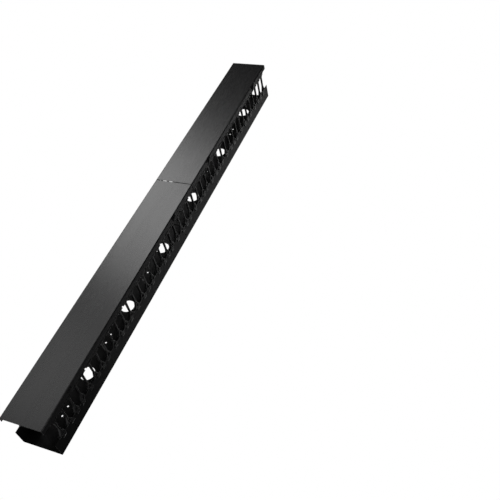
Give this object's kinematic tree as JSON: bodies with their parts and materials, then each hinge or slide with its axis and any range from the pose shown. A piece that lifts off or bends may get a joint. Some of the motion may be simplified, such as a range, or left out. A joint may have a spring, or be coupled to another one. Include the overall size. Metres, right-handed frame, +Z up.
{
  "type": "vertical cable manager",
  "caption": "Tall vertical cable manager: a steel back channel with pass-through holes, moulded finger combs down both sides and hinged front covers held by catches.",
  "frame": {"origin": "at the lower end of the lower cover, in the middle of the width and of the depth", "axes": "+Z up along the length, +X to the right seen from the front, -Y towards the covers and +Y towards the rack or wall that it is bolted to"},
  "size_m": [0.176, 0.178, 2.018],
  "materials": {
    "powder_coated_steel": "satin black powder coat with a fine orange peel",
    "comb_plastic": "glossy black moulded plastic",
    "clip_plastic": "black moulded plastic",
    "bright_steel": "zinc-plated steel"
  },
  "bodies": {
    "frame": {"upper_channel": "powder_coated_steel", "lower_channel": "powder_coated_steel", "splice_plate": "powder_coated_steel", "splice_screws": "bright_steel", "hinge_pins": "bright_steel", "catch_pins": "bright_steel", "right_comb_01": "comb_plastic", "right_comb_02": "comb_plastic", "right_comb_03": "comb_plastic", "right_comb_04": "comb_plastic", "right_comb_05": "comb_plastic", "right_comb_06": "comb_plastic", "right_comb_07": "comb_plastic", "right_comb_08": "comb_plastic", "right_comb_09": "comb_plastic", "right_comb_10": "comb_plastic", "right_comb_11": "comb_plastic", "left_comb_01": "comb_plastic", "left_comb_02": "comb_plastic", "left_comb_03": "comb_plastic", "left_comb_04": "comb_plastic", "left_comb_05": "comb_plastic", "left_comb_06": "comb_plastic", "left_comb_07": "comb_plastic", "left_comb_08": "comb_plastic", "left_comb_09": "comb_plastic", "left_comb_10": "comb_plastic", "left_comb_11": "comb_plastic"},
    "upper_cover": {"upper_cover": "powder_coated_steel", "upper_hinge_rivets": "bright_steel", "upper_latch_rivets": "bright_steel", "upper_latch_pins": "bright_steel", "hinge_clip_1": "clip_plastic", "hinge_clip_2": "clip_plastic", "latch_bracket_1": "powder_coated_steel", "latch_bracket_2": "powder_coated_steel"},
    "lower_cover": {"lower_cover": "powder_coated_steel", "lower_hinge_rivets": "bright_steel", "lower_latch_rivets": "bright_steel", "lower_latch_pins": "bright_steel", "hinge_clip_3": "clip_plastic", "hinge_clip_4": "clip_plastic", "latch_bracket_3": "powder_coated_steel", "latch_bracket_4": "powder_coated_steel"},
    "latch_lever_1": {"latch_lever_1": "clip_plastic"},
    "latch_lever_2": {"latch_lever_2": "clip_plastic"},
    "latch_lever_3": {"latch_lever_3": "clip_plastic"},
    "latch_lever_4": {"latch_lever_4": "clip_plastic"}
  },
  "joints": [
    {"name": "upper_cover_hinge", "type": "hinge", "parent": "frame", "child": "upper_cover", "pos_m": [0.0806, -0.0585, 1.85355], "axis": [0, 0, 1], "range_deg": [0, 110]},
    {"name": "lower_cover_hinge", "type": "hinge", "parent": "frame", "child": "lower_cover", "pos_m": [0.0806, -0.0585, 0.16445], "axis": [0, 0, 1], "range_deg": [0, 110]},
    {"name": "latch_lever_1_pivot", "type": "hinge", "parent": "upper_cover", "child": "latch_lever_1", "pos_m": [-0.0862, -0.075, 1.85355], "axis": [0, 0, 1], "range_deg": [0, 25]},
    {"name": "latch_lever_2_pivot", "type": "hinge", "parent": "upper_cover", "child": "latch_lever_2", "pos_m": [-0.0862, -0.075, 1.32015], "axis": [0, 0, 1], "range_deg": [0, 25]},
    {"name": "latch_lever_3_pivot", "type": "hinge", "parent": "lower_cover", "child": "latch_lever_3", "pos_m": [-0.0862, -0.075, 0.96455], "axis": [0, 0, 1], "range_deg": [0, 25]},
    {"name": "latch_lever_4_pivot", "type": "hinge", "parent": "lower_cover", "child": "latch_lever_4", "pos_m": [-0.0862, -0.075, 0.16445], "axis": [0, 0, 1], "range_deg": [0, 25]}
  ]
}
